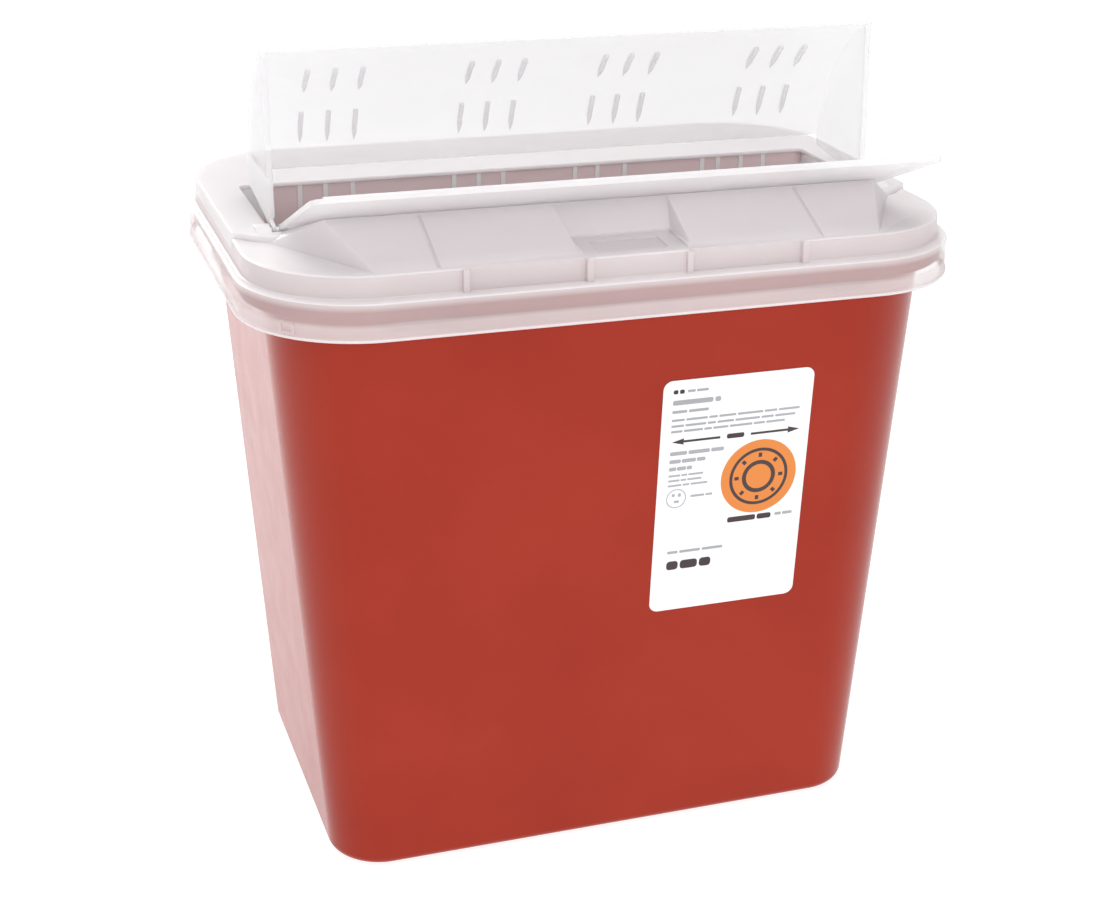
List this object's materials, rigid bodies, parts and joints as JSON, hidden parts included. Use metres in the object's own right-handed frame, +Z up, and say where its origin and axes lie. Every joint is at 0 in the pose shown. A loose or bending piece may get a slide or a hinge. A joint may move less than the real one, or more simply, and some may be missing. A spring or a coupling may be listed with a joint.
{
  "type": "sharps container",
  "caption": "Tapered tub with a locking translucent lid, a long slot and a counterbalanced swinging door with a curved tray and a flat leaf.",
  "frame": {"origin": "on the floor, under the middle of the base", "axes": "+Z up; the labelled front faces -Y; +X to the right when looking at the front; the door's pivot axis runs along X"},
  "size_m": [0.267, 0.184, 0.3007],
  "materials": {
    "red_plastic": "satin",
    "milky_plastic": "satin translucent",
    "frosted_plastic": "satin translucent",
    "label_film": "matte printed film"
  },
  "bodies": {
    "container": {"tub": "red_plastic", "lid": "milky_plastic", "front_label": "label_film"},
    "door": {"door_hood": "frosted_plastic", "door_leaf": "frosted_plastic", "left_pivot_pin": "frosted_plastic", "right_pivot_pin": "frosted_plastic"}
  },
  "joints": [
    {"name": "door_hinge", "type": "hinge", "parent": "container", "child": "door", "pos_m": [0, -0.0285, 0.2396], "axis": [-1, 0, 0], "range_deg": [0, 148]}
  ]
}
